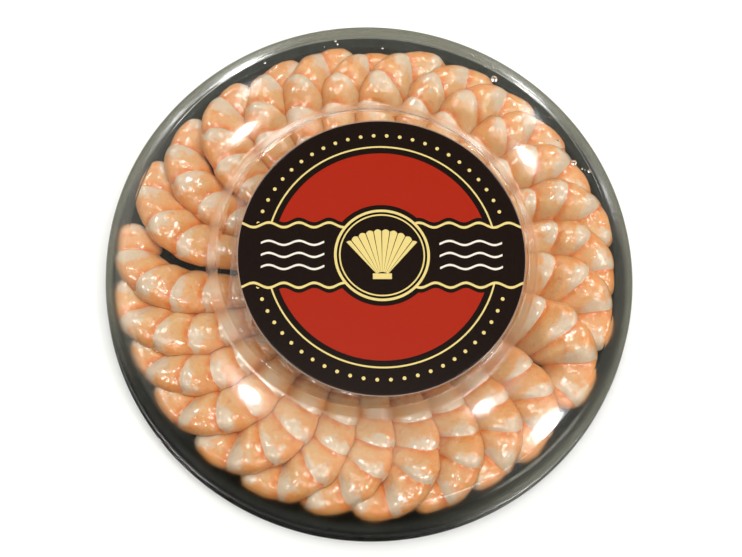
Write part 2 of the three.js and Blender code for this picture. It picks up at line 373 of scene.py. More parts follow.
class Field:
    """A number that varies over a surface, so that shader nodes are written as formulas."""

    def __init__(self, tree, socket):
        self.tree = tree
        self.socket = socket

    def __radd__(self, other):
        return self + other

    def __rsub__(self, other):
        return formula(self.tree, "SUBTRACT", other, self)

    def ramp(self, low, high, at_low=0.0, at_high=1.0):
        """Runs smoothly from at_low to at_high as the number goes from low to high."""
        node = add_node(self.tree, "ShaderNodeMapRange", {
            "Value": self, "From Min": low, "From Max": high, "To Min": at_low, "To Max": at_high,
        }, interpolation_type="SMOOTHSTEP")
        return Field(self.tree, node.outputs["Result"])

    def fade(self, low, high):
        return self.ramp(low, high, 1.0, 0.0)

    def spread(self, at_low, at_high):
        """The ramp for noise, which seldom leaves its middle range."""
        return self.ramp(*NOISE_RANGE, at_low, at_high)


OPERATIONS = {
    "__add__": "ADD", "__sub__": "SUBTRACT", "__mul__": "MULTIPLY", "__truediv__": "DIVIDE",
    "__abs__": "ABSOLUTE", "at_least": "MAXIMUM", "angle_to": "ARCTAN2", "fraction": "FRACT",
    "sine": "SINE", "root": "SQRT",
}


def add_operation(name, operation):
    setattr(Field, name, lambda *fields: formula(fields[0].tree, operation, *fields))


for method, operation in OPERATIONS.items():
    add_operation(method, operation)


def feed(tree, target, value):
    """Gives a shader socket a number, a colour, a field or another socket."""
    if isinstance(value, Field):
        tree.links.new(value.socket, target)
    elif isinstance(value, bpy.types.NodeSocket):
        tree.links.new(value, target)
    else:
        target.default_value = value


def add_node(tree, kind, inputs, **settings):
    """A new shader node with its settings, and its inputs by name or by number."""
    node = tree.nodes.new(kind)
    for name, value in settings.items():
        setattr(node, name, value)
    for name, value in inputs.items():
        feed(tree, node.inputs[name], value)
    return node


def formula(tree, operation, *values):
    node = add_node(tree, "ShaderNodeMath", dict(enumerate(values)), operation=operation)
    return Field(tree, node.outputs[0])


def axes_of(tree, vector):
    """The x, y and z fields of a vector socket."""
    split = add_node(tree, "ShaderNodeSeparateXYZ", {0: vector})
    return [Field(tree, split.outputs[axis]) for axis in "XYZ"]


class Finish:
    """A material with one Principled shader and short names for the nodes that feed it."""

    def __init__(self, name):
        self.material = bpy.data.materials.new(name)
        self.material.use_nodes = True
        self.tree = self.material.node_tree
        self.shader = self.tree.nodes["Principled BSDF"]
        self.where = self.place()
        self.x, self.y, _ = axes_of(self.tree, self.where)

    def set(self, **values):
        for name, value in values.items():
            feed(self.tree, self.shader.inputs[name.replace("_", " ")], value)

    def place(self):
        """The surface point in millimetres."""
        point = self.tree.nodes.new("ShaderNodeTexCoord").outputs["Object"]
        inputs = {0: point, "Scale": 1 / MM}
        return add_node(self.tree, "ShaderNodeVectorMath", inputs, operation="SCALE").outputs[0]

    def attribute(self, name):
        node = add_node(self.tree, "ShaderNodeAttribute", {}, attribute_name=name)
        return Field(self.tree, node.outputs["Fac"])

    def noise(self, size, detail=2.0, roughness=0.5, distortion=0.0, where=None):
        """Cloudy noise from 0 to 1 with blotches of the given size in millimetres."""
        node = add_node(self.tree, "ShaderNodeTexNoise", {
            "Vector": where or self.where, "Scale": 1 / size, "Detail": detail,
            "Roughness": roughness, "Distortion": distortion})
        return Field(self.tree, node.outputs["Fac"])

    def spots(self, size):
        """Distance from the nearest of many scattered points, in shares of the size."""
        node = add_node(self.tree, "ShaderNodeTexVoronoi", {"Vector": self.where, "Scale": 1 / size})
        return Field(self.tree, node.outputs["Distance"])

    def mix(self, share, first, second):
        inputs = {"Factor": share, 6: first, 7: second}
        return add_node(self.tree, "ShaderNodeMix", inputs, data_type="RGBA").outputs[2]

    def vector(self, *values):
        return add_node(self.tree, "ShaderNodeCombineXYZ", dict(enumerate(values))).outputs[0]

    def bump(self, height, depth_mm, socket="Normal"):
        node = add_node(self.tree, "ShaderNodeBump", {"Distance": depth_mm * MM, "Height": height})
        self.tree.links.new(node.outputs["Normal"], self.shader.inputs[socket])

    def let_lamps_through(self):
        """Shadow rays pass, so that lamps light what is behind this clear skin."""
        clear = self.tree.nodes.new("ShaderNodeBsdfTransparent").outputs[0]
        shadow = self.tree.nodes.new("ShaderNodeLightPath").outputs["Is Shadow Ray"]
        inputs = {0: shadow, 1: self.shader.outputs[0], 2: clear}
        choice = add_node(self.tree, "ShaderNodeMixShader", inputs)
        feed(self.tree, self.tree.nodes["Material Output"].inputs["Surface"], choice.outputs[0])


# ----- materials

NOISE_RANGE = (0.3, 0.7)
STRETCH_HAZE = 0.16  # extra roughness where the lid's plastic is stretched
STEP_STRETCH_START = (56.2, 57.0)  # radii, round the raised middle's edge
STEP_STRETCH_END = (60.6, 61.6)
SHOULDER_STRETCH = 0.7
DRAW_LINES = 9  # fine draw lines along the stretched rounds
DRAW_LINE_PITCH = 0.7
DRAW_LINE_SHARE = 1.5


def black_plastic():
    """Thermoformed black plastic with a faint orange-peel gloss."""
    finish = Finish("black_tray_plastic")
    cloud = finish.noise(9, detail=3)
    finish.set(Base_Color=finish.mix(cloud, linear(15, 18, 14), linear(23, 26, 21)))
    finish.set(Roughness=cloud.spread(0.26, 0.38))
    finish.set(IOR=1.33, Specular_IOR_Level=0.42)
    finish.bump(finish.noise(1.6, detail=1), 0.02)
    return finish.material


def clear_plastic():
    """The lid: clear, with a slight haze that varies as a thin formed sheet's does."""
    finish = Finish("clear_lid_plastic")
    x, y = finish.x, finish.y
    radius = (x * x + y * y).root()
    step = radius.ramp(*STEP_STRETCH_START) * radius.fade(*STEP_STRETCH_END)
    shoulder = radius.ramp(FOLD_RADIUS, FOLD_RADIUS + 2) * SHOULDER_STRETCH
    stretch = shoulder.at_least(step)
    haze = finish.noise(14, detail=3).spread(0.04, 0.065)
    drawn = finish.vector(x / radius * DRAW_LINES, y / radius * DRAW_LINES, radius / DRAW_LINE_PITCH)
    streaks = finish.noise(1, where=drawn) * stretch * DRAW_LINE_SHARE
    finish.set(Base_Color=(0.985, 0.99, 0.985, 1.0), IOR=1.46, Transmission_Weight=1.0)
    finish.set(Roughness=haze + stretch * STRETCH_HAZE)
    finish.bump(finish.noise(5.0, detail=2) + streaks, 0.02)
    finish.let_lamps_through()
    return finish.material


def clear_film():
    """Thin creased film: clear where it is seen straight on, shiny where it slopes away, by its
    gloss and by a painted reflection.
    """
    finish = Finish("sachet_film")
    slope = add_node(finish.tree, "ShaderNodeLayerWeight", {"Blend": 0.25})
    finish.set(Base_Color=(0.9, 0.84, 0.78, 1.0), IOR=1.5, Specular_IOR_Level=0.8)
    finish.set(Roughness=finish.noise(5, detail=2).spread(0.08, 0.2))
    # painted reflection: the pale base colour turns more opaque where the film slopes away from the
    # view
    finish.set(Alpha=Field(finish.tree, slope.outputs["Facing"]).ramp(0.0, 0.8, 0.08, 0.5))
    finish.bump(finish.noise(2.2, detail=3, distortion=1.5), 0.12)
    return finish.material


def water():
    finish = Finish("clear_water")
    finish.set(Base_Color=(1.0, 1.0, 1.0, 1.0), IOR=1.33, Transmission_Weight=1.0, Roughness=0.0)
    finish.let_lamps_through()
    return finish.material


def red_sauce():
    """Pale red sauce with darker and paler bits."""
    finish = Finish("salsa_sauce")
    cloud = finish.noise(7, detail=4)
    bits = finish.spots(2.6).fade(0.12, 0.3)
    body = finish.mix(cloud, linear(176, 70, 30), linear(206, 108, 56))
    finish.set(Base_Color=finish.mix(bits * 0.7, body, linear(130, 34, 16)))
    finish.set(Roughness=cloud.spread(0.3, 0.45))
    finish.set(Subsurface_Weight=0.4, Subsurface_Radius=(1.0, 0.4, 0.2), Subsurface_Scale=0.002)
    finish.bump(cloud, 0.3)
    return finish.material


# Colours along a segment, from its joint at 0 to the next joint at 1.
WHITE_START = 0.42  # at the tip of the bowed edge
WHITE_BOW = 1.30  # how much later away from the tip
WHITE_BOW_SPREAD = 0.50
WHITE_RAGGEDNESS = 1.1
WHITE_FADE = 0.34
WHITE_NECK = (0.1, 1.2)
ORANGE_END = 0.5
ORANGE_BACK = (0.3, 1.0)
JOINT_END = 0.25  # of the deepest orange
BLOTCH_SIZE = 4.5
STAIN_SIZE = 2.6
FIBRE_SIZE = 1.1
FLECK_SIZE = 1.3
SHEEN_WAVE_SIZE = 3.2


def prawn_flesh():
    """Wet cooked flesh: each segment runs from orange at its joint through peach to white."""
    finish = Finish("cooked_prawn_flesh")
    names = ("toward_back", "toward_top", "tone", "band", "segment")
    back, top, tone, band, segment = [finish.attribute(name) for name in names]
    along = segment.fraction()
    tip_turn = radians(RING_BOW_TURN)
    off_tip = 1 - back * cos(tip_turn) - top * sin(tip_turn)
    blotch = finish.noise(BLOTCH_SIZE, detail=3, roughness=0.6)
    stain = finish.noise(STAIN_SIZE, detail=2, roughness=0.5)
    fibre = finish.noise(FIBRE_SIZE, detail=3, roughness=0.6, distortion=0.8)
    fleck = finish.spots(FLECK_SIZE).ramp(0.1, 0.35, 0.25, 0.0)

    bow = off_tip * (WHITE_BOW - band * WHITE_BOW_SPREAD)
    start = WHITE_START + bow + (blotch - 0.5) * WHITE_RAGGEDNESS
    white = along.ramp(start, start + WHITE_FADE) * segment.ramp(*WHITE_NECK)
    orange = along.fade(0.0, ORANGE_END).at_least(back.ramp(*ORANGE_BACK) * 0.8)
    orange = orange * blotch.ramp(0.28, 0.62, 0.35, 1.0)
    joint = along.ramp(0.0, JOINT_END, 0.8, 0.0) * stain.ramp(0.3, 0.6)
    joint = joint.at_least(stain.ramp(0.6, 0.75) * 0.5)

    peach = finish.mix(tone, linear(233, 181, 122), linear(235, 171, 108))
    mottled = finish.mix(fibre.ramp(0.40, 0.64) * 0.35, peach, linear(238, 204, 160))
    flushed = finish.mix(orange * 0.85, mottled, linear(240, 146, 60))
    deeper = finish.mix(joint * 0.7, flushed, linear(222, 98, 28))
    flecked = finish.mix(fleck, deeper, linear(246, 208, 158))
    pale = finish.mix(fibre.spread(0, 1), linear(224, 201, 172), linear(232, 211, 184))
    finish.set(Base_Color=finish.mix(white * 0.85, flecked, pale))

    finish.set(Roughness=fibre.spread(0.3, 0.42), IOR=1.42, Specular_IOR_Level=0.12)
    finish.set(Subsurface_Weight=0.6, Subsurface_Radius=(1.0, 0.5, 0.3), Subsurface_Scale=0.0035)
    finish.bump(stain + fibre * 0.2, 0.25)
    finish.set(Coat_Weight=1.0, Coat_Roughness=0.20, Coat_IOR=1.5)
    wave = finish.noise(SHEEN_WAVE_SIZE, detail=1, distortion=0.8)
    finish.bump(wave, 0.3, socket="Coat Normal")
    return finish.material


# ----- the printed label, with places and sizes from its middle

PRINT_EDGE = 0.12  # width over which a printed edge fades
FINE_EDGE = 0.1
PRINT_LINE = 0.42  # half the width of a gold line
BAND_HALF = 11.5  # of the dark band across the middle
BAND_WAVE = 0.9  # height of the waves in its gold lines
WAVE_LENGTH = 11.0
FIELD_RADIUS = 39.5  # of the red fields above and below the band
FIELD_GAP = 1.9  # from the band's lines
ROUNDEL_RADIUS = 17.0
ROUNDEL_INSET = 1.6
ROUNDEL_MARGIN = 2.2  # to the red fields
BORDER_RADIUS = FIELD_RADIUS + 2.6
BORDER_GAP = 0.2  # from the band's lines
DOT_RING = 46.6
DOTS = 60
DOT_RADIUS = 0.62
DOT_GAP = 1.2  # from the band's lines
RIPPLE_PITCH = 4.6
RIPPLE_WAVE = 0.8
RIPPLE_LINE = 0.34
RIPPLE_HALF_HEIGHT = 6.6
RIPPLE_START = 21.0
RIPPLE_END = 44.0
SHELL_FOOT_Y = -9.5
SHELL_RADIUS = 19.5
SHELL_RIM = 1.0
SHELL_HALF_ANGLE = 0.72
SHELL_RIBS = 9
SHELL_SCALLOP = 0.8
SHELL_START = 3.0
SHELL_BASE_Y = 1.4
SHELL_BASE_HALF = (3.4, 1.0)  # half its width and height
CUT_EDGE = (0.5, 0.35)  # the pale cut edge's fade, inwards


def past(value, start, edge=PRINT_EDGE):
    """1 where a value is past a place, with a crisp edge."""
    return value.ramp(start, start + edge)


def within(value, end, edge=PRINT_EDGE):
    """1 where a value is short of a place, with a crisp edge."""
    return value.fade(end, end + edge)


def line_mask(distance, half_width):
    """1 on a line, from the distance to its middle."""
    return within(abs(distance), half_width)


def wave(x):
    return (x * (2 * pi / WAVE_LENGTH)).sine()


def dot_mask(x, y, radius):
    turn = x.angle_to(y) * (DOTS / (2 * pi))
    beside = (turn.fraction() - 0.5) * (2 * pi * DOT_RING / DOTS)
    off_ring = radius - DOT_RING
    return within((beside * beside + off_ring * off_ring).root(), DOT_RADIUS)


def ripple_mask(x, y):
    """Wavy pale lines on the band, on both sides of the roundel."""
    rows = ((y - wave(x) * RIPPLE_WAVE) / RIPPLE_PITCH + 0.5).fraction()
    ripples = line_mask((rows - 0.5) * RIPPLE_PITCH, RIPPLE_LINE)
    ripples = ripples * within(abs(y), RIPPLE_HALF_HEIGHT, FINE_EDGE)
    return ripples * past(abs(x), RIPPLE_START, FINE_EDGE) * within(abs(x), RIPPLE_END, FINE_EDGE)


def shell_mask(x, y):
    up = y - SHELL_FOOT_Y
    reach = (x * x + up * up).root()
    lean = x.angle_to(up)
    rib = abs((lean * (SHELL_RIBS * pi / (2 * SHELL_HALF_ANGLE))).sine())
    fan = within(reach - rib * SHELL_SCALLOP, SHELL_RADIUS - SHELL_RIM)
    fan = fan * within(abs(lean), SHELL_HALF_ANGLE, 0.02) * past(reach, SHELL_START)
    half_width, half_height = SHELL_BASE_HALF
    base = line_mask(up - SHELL_BASE_Y, half_height) * within(abs(x), half_width, FINE_EDGE)
    return (fan * past(rib, 0.14, 0.06)).at_least(base)


def gilt_mask(x, y, radius, off_band):
    """All that is printed in gold."""
    lines = line_mask(off_band, PRINT_LINE) * past(radius, ROUNDEL_RADIUS)
    rings = line_mask(radius - ROUNDEL_RADIUS, PRINT_LINE)
    rings = rings.at_least(line_mask(radius - (ROUNDEL_RADIUS - ROUNDEL_INSET), PRINT_LINE * 0.5))
    border = line_mask(radius - BORDER_RADIUS, PRINT_LINE * 0.6) * past(off_band, BORDER_GAP)
    dots = dot_mask(x, y, radius) * past(off_band, DOT_GAP, FINE_EDGE)
    return lines.at_least(rings).at_least(border).at_least(dots).at_least(shell_mask(x, y))


def label_print():
    """Dark card with red fields, gold lines, a ring of dots and a shell in a roundel."""
    finish = Finish("printed_label_card")
    x = finish.x - LABEL_OFFSET_X
    y = finish.y - LABEL_OFFSET_Y
    radius = (x * x + y * y).root()
    off_band = abs(y) - wave(x) * BAND_WAVE - BAND_HALF
    field = past(off_band, FIELD_GAP) * within(radius, FIELD_RADIUS)
    field = field * past(radius, ROUNDEL_RADIUS + ROUNDEL_MARGIN)
    cut_edge = radius.ramp(*[LABEL_RADIUS - inwards for inwards in CUT_EDGE])

    grain = finish.noise(0.8, detail=2)
    card = finish.mix(grain, linear(18, 8, 5), linear(22, 10, 7))
    red = finish.mix(grain, linear(147, 27, 4), linear(150, 29, 5))
    colour = finish.mix(field, card, red)
    colour = finish.mix(gilt_mask(x, y, radius, off_band), colour, linear(206, 186, 118))
    colour = finish.mix(ripple_mask(x, y), colour, linear(214, 208, 196))
    colour = finish.mix(cut_edge, colour, linear(150, 122, 108))
    finish.set(Base_Color=colour, IOR=1.33)
    finish.set(Roughness=grain.spread(0.15, 0.19))
    finish.bump(grain, 0.002)
    return finish.material


# ----- tray

def add_tray():
    under_rim = TRAY_RIM_TOP - TRAY_WALL
    lip_bottom = under_rim - TRAY_LIP_DROP
    lip_inside = TRAY_RIM_RADIUS - TRAY_WALL
    profile = [(0, 0)]
    profile += arc(TRAY_FOOT_RADIUS, TRAY_FOOT_FILLET, TRAY_FOOT_FILLET, -90, TRAY_WALL_TURN, 8)
    profile += [
        (TRAY_WALL_TOP_RADIUS, under_rim),
        (lip_inside, under_rim),
        (lip_inside, lip_bottom),
        (TRAY_RIM_RADIUS, lip_bottom),
    ]
    profile += arc(lip_inside, under_rim, TRAY_WALL, 0, 90, 8)
    profile += [
        (TRAY_WALL_TOP_RADIUS + 0.6, TRAY_RIM_TOP),
        (TRAY_WALL_TOP_RADIUS, TRAY_RIM_TOP - 0.2),
        (TRAY_WALL_TOP_RADIUS - TRAY_WALL, under_rim),
    ]
    inner_foot = (TRAY_FOOT_RADIUS - TRAY_WALL, TRAY_FOOT_FILLET + TRAY_WALL)
    profile += arc(*inner_foot, TRAY_FOOT_FILLET, TRAY_WALL_TURN, -90, 8)
    profile += [(0, TRAY_WALL)]
    skin = closed_skin(turned(profile, TRAY_SIDES))
    tray = make_piece("tray_smooth", skin, black_plastic())
    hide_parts("tray")


# ----- lid

SHOULDER_CENTRE_RADIUS = LID_SIDE_RADIUS - SHOULDER_RADIUS
CREASE_RADIUS = SHOULDER_CENTRE_RADIUS + SHOULDER_RADIUS * sin(radians(CREASE_SLOPE))
CREASE_HEIGHT = SHOULDER_HEIGHT + SHOULDER_RADIUS * cos(radians(CREASE_SLOPE))
DOME_REACH = CREASE_RADIUS - PLATEAU_FOOT_RADIUS
OUTER_TANGENT = tan(radians(DOME_OUTER_SLOPE))
INNER_TANGENT = tan(radians(DOME_INNER_SLOPE))


def dome_height(radius):
    run = CREASE_RADIUS - radius
    bend = (OUTER_TANGENT - INNER_TANGENT) * run ** 2 / (2 * DOME_REACH)
    return CREASE_HEIGHT + OUTER_TANGENT * run - bend


def dome_tangent(radius):
    """Downward slope of the dome at a radius, as a tangent."""
    return lerp(INNER_TANGENT, OUTER_TANGENT, (radius - PLATEAU_FOOT_RADIUS) / DOME_REACH)


PLATEAU_HEIGHT = dome_height(PLATEAU_FOOT_RADIUS) + PLATEAU_STEP
ROUND_RADIUS = (LID_SIDE_RADIUS - FOLD_RADIUS) / (1 - sin(radians(FOLD_SLOPE)))
ROUND_CENTRE_RADIUS = LID_SIDE_RADIUS - ROUND_RADIUS
ROUND_CENTRE_HEIGHT = dome_height(FOLD_RADIUS) - ROUND_RADIUS * cos(radians(FOLD_SLOPE))


def lid_slope(radius):
    """Height and downward slope, in radians, of the lid's outside at a radius."""
    if radius < FOLD_RADIUS:
        return dome_height(radius), atan(dome_tangent(radius))
    slope = asin((radius - ROUND_CENTRE_RADIUS) / ROUND_RADIUS)
    return ROUND_CENTRE_HEIGHT + ROUND_RADIUS * cos(slope), slope


def lid_point(turn, radius):
    """A point on the lid's outside, and the direction in which the lid faces there."""
    outward = bearing(turn)
    height, slope = lid_slope(radius)
    normal = outward * sin(slope) + Vector((0, 0, cos(slope)))
    return outward * radius + Vector((0, 0, height)), normal


def lid_outside():
    """The lid's outer line from the axis to the lip, with its edges rounded."""
    flat = [0, *range(FLAT_PITCH, int(BEAD_RADIUS - BEAD_HALF_WIDTH), FLAT_PITCH)]
    flat += [BEAD_RADIUS + step * BEAD_HALF_WIDTH / BEAD_STEPS for step in range(-BEAD_STEPS - 1, 1)]
    corners = [(radius, PLATEAU_HEIGHT, 0) for radius in flat]
    corners += [(PLATEAU_EDGE_RADIUS, PLATEAU_HEIGHT, EDGE_FILLET)]
    corners += [(PLATEAU_FOOT_RADIUS, dome_height(PLATEAU_FOOT_RADIUS), EDGE_FILLET)]
    for radius in np.linspace(PLATEAU_FOOT_RADIUS + 1.5, FOLD_RADIUS - 1, DOME_STEPS):
        corners.append((radius, dome_height(radius), 0))
    corners.append((FOLD_RADIUS, dome_height(FOLD_RADIUS), FOLD_FILLET))
    shoulder = arc(ROUND_CENTRE_RADIUS, ROUND_CENTRE_HEIGHT, ROUND_RADIUS,
                   90 - FOLD_SLOPE - 4, 0, DOME_STEPS)
    corners += [(r, z, 0) for r, z in shoulder]
    ledge = [
        (LID_SIDE_RADIUS, LID_LEDGE_TOP + LEDGE_RISE),
        (LID_SKIRT_RADIUS, LID_LEDGE_TOP),
        (LID_SKIRT_RADIUS, LID_LIP_BOTTOM + 2 * LID_LIP_HEIGHT),
        (LID_LIP_RADIUS, LID_LIP_BOTTOM + LID_LIP_HEIGHT),
    ]
    corners += [(*corner, fillet) for corner, fillet in zip(ledge, LEDGE_FILLETS)]
    corners.append((LID_LIP_RADIUS, LID_LIP_BOTTOM, 0))
    return np.array(rounded(corners))


def moved_in(line, depth):
    """The line moved to its right by a depth, point by point."""
    run = np.gradient(line, axis=0)
    run /= np.linalg.norm(run, axis=1, keepdims=True)
    inner = line + depth * np.stack([run[:, 1], -run[:, 0]], axis=1)
    inner[0] = (0, line[0, 1] - depth)
    return inner


def lid_wave(x, y):
    """Gentle waves of no plain pattern, from -2 to 2."""
    return np.sin(x / 9.7 + 1.3 * np.sin(y / 17.0)) + np.sin(y / 8.3 + 1.1 * np.sin(x / 13.0) + 2.0)


def add_lid():
    outside = lid_outside()
    inside = moved_in(outside, LID_WALL)
    under_ledge = TRAY_RIM_TOP + CONTACT_GAP
    inside = inside[inside[:, 1] > under_ledge]
    inside_skirt = LID_SKIRT_RADIUS - LID_WALL
    ledge = [
        (LID_SIDE_RADIUS - LID_WALL, under_ledge),
        (inside_skirt, under_ledge),
        (inside_skirt, LID_LIP_BOTTOM),
    ]
    profile = np.concatenate([outside, ledge[::-1], inside[::-1]])
    rings = turned(profile, LID_SIDES)
    bead = np.clip(1 - ((profile[:, 0] - BEAD_RADIUS) / BEAD_HALF_WIDTH) ** 2, 0, 1) ** 2
    on_top = profile[:, 1] > PLATEAU_HEIGHT - LID_WALL - 0.4
    rings[:, :, 2] += (bead * on_top * BEAD_HEIGHT)[:, None]
    x, y, z = rings[:, :, 0], rings[:, :, 1], rings[:, :, 2]
    above_ledge = smooth(z, LID_LEDGE_TOP, SHOULDER_HEIGHT)
    off_flat = smooth(np.hypot(x, y), WAVE_START, PLATEAU_FOOT_RADIUS)
    rings[:, :, 2] = z + LID_WAVE * lid_wave(x, y) * above_ledge * off_flat
    lid = make_piece("lid_clear", closed_skin(rings[::-1]), clear_plastic())
    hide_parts("lid")


# ----- label

def add_label():
    bottom = PLATEAU_HEIGHT + 0.03
    top = bottom + LABEL_PAPER
    profile = [
        (0, bottom),
        (LABEL_RADIUS, bottom),
        (LABEL_RADIUS, top - 0.05),
        (LABEL_RADIUS - 0.05, top),
        (LABEL_RADIUS - 1, top),
        (0, top),
    ]
    skin = closed_skin(turned(profile, LID_SIDES) + (LABEL_OFFSET_X, LABEL_OFFSET_Y, 0))
    label = make_piece("label_card", skin, label_print())
    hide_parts("label")


# ----- prawns

def prawn_shape(index):
    """The bearing, width share and own variations of one prawn."""
    back, following = [*PRAWN_BACKS, PRAWN_BACKS[0] + 360][index:index + 2]
    belly = following - GAP_AFTER.get(index, 0)
    return {
        "start": radians((back + belly) / 2 - NECK_LEAD),
        "width": (belly - back) / MEAN_PITCH,
        "length": PRAWN_LENGTH * (LEAST_LENGTH + LENGTH_SPREAD * vary(index, 1)),
        "turn": radians(CURL_TURN * (LEAST_CURL + CURL_SPREAD * vary(index, 2))),
        "tilt": radians(PRAWN_TILT + TILT_SPREAD * (vary(index, 3) - 0.5)),
        "ring_shift": RING_SPREAD * (vary(index, 4) - 0.5),
    }


def segment_place(station, shape):
    """Which segment a station lies in, and how far along it, as one number."""
    return (station - RING_START - shape["ring_shift"]) / RING_PITCH


def body_share(station, shape):
    """The section's size at a station, against the thickest one."""
    growth = lerp(NECK_SHARE, 1, smooth(station, *NECK_GROWTH))
    tail = lerp(1, TAIL_SHARE, smooth(station, *TAIL_TAPER))
    before_lip = 1 - fraction(segment_place(station, shape))
    crest = np.sin(np.pi * before_lip ** RING_CREST_POWER) ** RING_FULLNESS
    return growth * tail * (1 - RING_GROOVE * (1 - crest))


def end_share(station):
    """How much of the section the rounded ends leave."""
    from_neck = np.minimum(1, (station - NECK_END) / NECK_ROUNDING)
    from_tail = np.minimum(1, (TAIL_END - station) / TAIL_ROUNDING)
    return np.sqrt(1 - (1 - from_neck) ** 2) * np.sqrt(1 - (1 - from_tail) ** 2)


def bowed_place(station, turn):
    """Where a station's edge lies at a turn round the section, furthest out off the back."""
    fade = smooth(station, *BOW_FADE_IN) * (1 - smooth(station, *BOW_FADE_OUT))
    from_tip = np.minimum(turn, 2 * np.pi - turn) - radians(RING_BOW_TURN)
    return station - RING_BOW * fade * 0.5 * (1 - np.cos(from_tip))


def middle_line(shape, walk_steps=240):
    """Places, x, y and headings along the curled middle line, which place 0 starts on the ring."""
    places = np.linspace(NECK_END, TAIL_END, walk_steps + 1)
    curl = np.clip(places, 0, 1) ** CURL_POWER + TAIL_CURL * np.maximum(0, places - 1)
    heading = shape["start"] + shape["turn"] * curl
    step = shape["length"] * (TAIL_END - NECK_END) / walk_steps
    line = [step * np.cumsum(np.sin(heading)), step * np.cumsum(np.cos(heading))]
    ring = [NECK_RING_RADIUS * sin(shape["start"]), NECK_RING_RADIUS * cos(shape["start"])]
    x, y = [walk - np.interp(0, places, walk) + start for walk, start in zip(line, ring)]
    turn = degrees(shape["start"])
    shift = float(np.interp(turn % 360, *RING_SHIFT))
    outward = bearing(turn)
    return places, x + outward.x * shift, y + outward.y * shift, heading


def section_grid():
    """The stations along a prawn as a column, and the turns round it as a row."""
    station = np.linspace(NECK_END, TAIL_END, PRAWN_STATIONS)[:, None]
    turn = np.linspace(0, 2 * np.pi, PRAWN_TURNS, endpoint=False)[None, :]
    return station, turn


def prawn_rings(index):
    """Rings of points of one prawn, before its neighbours press on it."""
    shape = prawn_shape(index)
    station, turn = section_grid()
    along = bowed_place(station, turn)
    places, line_x, line_y, headings = middle_line(shape)
    x = np.interp(along, places, line_x)
    y = np.interp(along, places, line_y)
    heading = np.interp(along, places, headings)
    share = body_share(station, shape) * PLUMPNESS
    depth = BODY_HALF_DEPTH * shape["width"] * share
    width = BODY_HALF_WIDTH * share
    sideways, upright = sin(shape["tilt"]), cos(shape["tilt"])
    half_height = np.hypot(depth * sideways, width * upright)
    lift = BACK_LIFT * smooth(along, *BACK_LIFT_RUN) - TAIL_DROP * smooth(along, *TAIL_DROP_RUN)
    z = TRAY_WALL + CONTACT_GAP + half_height / PLUMPNESS + lift
    close = end_share(station)
    to_back = close * depth * np.cos(turn)
    to_top = close * width * np.sin(turn)
    out = to_back * upright - to_top * sideways
    up = to_back * sideways + to_top * upright
    rings = np.stack([x - np.cos(heading) * out, y + np.sin(heading) * out, z + up], axis=2)
    return with_skin_relief(rings, index)


def with_skin_relief(rings, index):
    """Adds the uneven lumps and the fibres' fine relief along each point's normal."""
    lengthwise = np.gradient(rings, axis=0)
    around = np.roll(rings, -1, axis=1) - np.roll(rings, 1, axis=1)
    normal = np.cross(around, lengthwise)
    size = np.linalg.norm(normal, axis=2, keepdims=True)
    normal /= np.maximum(size, 1e-6)
    shift = Vector((0, 0, SKIN_SHIFT * index))
    relief = np.zeros(rings.shape[:2])
    for ring in range(1, len(rings) - 1):
        for side in range(rings.shape[1]):
            point = Vector(rings[ring, side]) + shift
            relief[ring, side] = (SKIN_LUMP * noise.noise(point / SKIN_LUMP_SIZE)
                                  + SKIN_GRAIN * noise.noise(point / SKIN_GRAIN_SIZE))
    fade = smooth(size[:, :, 0], 0, SKIN_FULL)
    return rings + normal * (relief * fade)[:, :, None]


def press_together(skins):
    """Where neighbours would cut into each other, both skins move to a face between them."""
    for _ in range(PRESS_ROUNDS):
        trees = [BVHTree.FromPolygons([Vector(p) for p in points], faces) for points, faces in skins]
        pressed = []
        for index, (points, faces) in enumerate(skins):
            moved = points.copy()
            for neighbour in (index - 1, (index + 1) % len(skins)):
                push_out(moved, trees[neighbour])
            pressed.append((moved, faces))
        skins = pressed
    return skins


def push_out(points, tree):
    """Moves points that lie inside a neighbour half-way out of it, and near ones towards it."""
    for number, point in enumerate(points):
        nearest, normal, _, distance = tree.find_nearest(Vector(point), PRESS_REACH)
        if nearest is None:
            continue
        outward = nearest - Vector(point)
        if outward.dot(normal) > 0:
            share = 0.5 + PRESS_GAP / max(distance, PRESS_GAP)
        else:
            share = 0.5 * max(0, 1 - distance / CLING_REACH)
        points[number] = np.array(Vector(point) + outward * share)


def keep_in_tray(points):
    """Flattens a prawn where it lies on the tray's floor and wall, and under the sachet."""
    radius = np.hypot(points[:, 0], points[:, 1])
    points[:, 2] = np.minimum(points[:, 2], np.interp(radius, *SACHET_REST))
    points[:, 2] = np.maximum(points[:, 2], TRAY_WALL + TRAY_GAP)
    limit = np.interp(points[:, 2], *SIDE_ROOM)
    points[:, :2] *= np.minimum(1, limit / np.maximum(radius, 1))[:, None]


def name_places(piece, index):
    """Stores where each point lies on its segment and round the body, for the colours."""
    shape = prawn_shape(index)
    station, turn = section_grid()
    ones = np.ones((PRAWN_STATIONS, PRAWN_TURNS))
    fields = {
        "segment": segment_place(station, shape) * ones,
        "toward_back": np.cos(turn) * ones,
        "toward_top": np.sin(turn) * ones,
        "tone": vary(index, 5) * ones,
        "band": vary(index, 6) * ones,
    }
    for name, grid in fields.items():
        values = np.concatenate([grid[0, :1], grid[1:-1].ravel(), grid[-1, :1]])
        attribute = piece.data.attributes.new(name, "FLOAT", "POINT")
        attribute.data.foreach_set("value", values.astype(np.float32))


def add_prawns():
    skins = [closed_skin(prawn_rings(index)) for index in range(len(PRAWN_BACKS))]
    skins = press_together(skins)
    flesh = prawn_flesh()
    for index, skin in enumerate(skins):
        keep_in_tray(skin[0])
        number = f"{index + 1:02d}"
        prawn = make_piece(f"prawn_body_{number}", skin, flesh)
        name_places(prawn, index)
        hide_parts(f"prawn_{number}")


# ----- sauce sachet

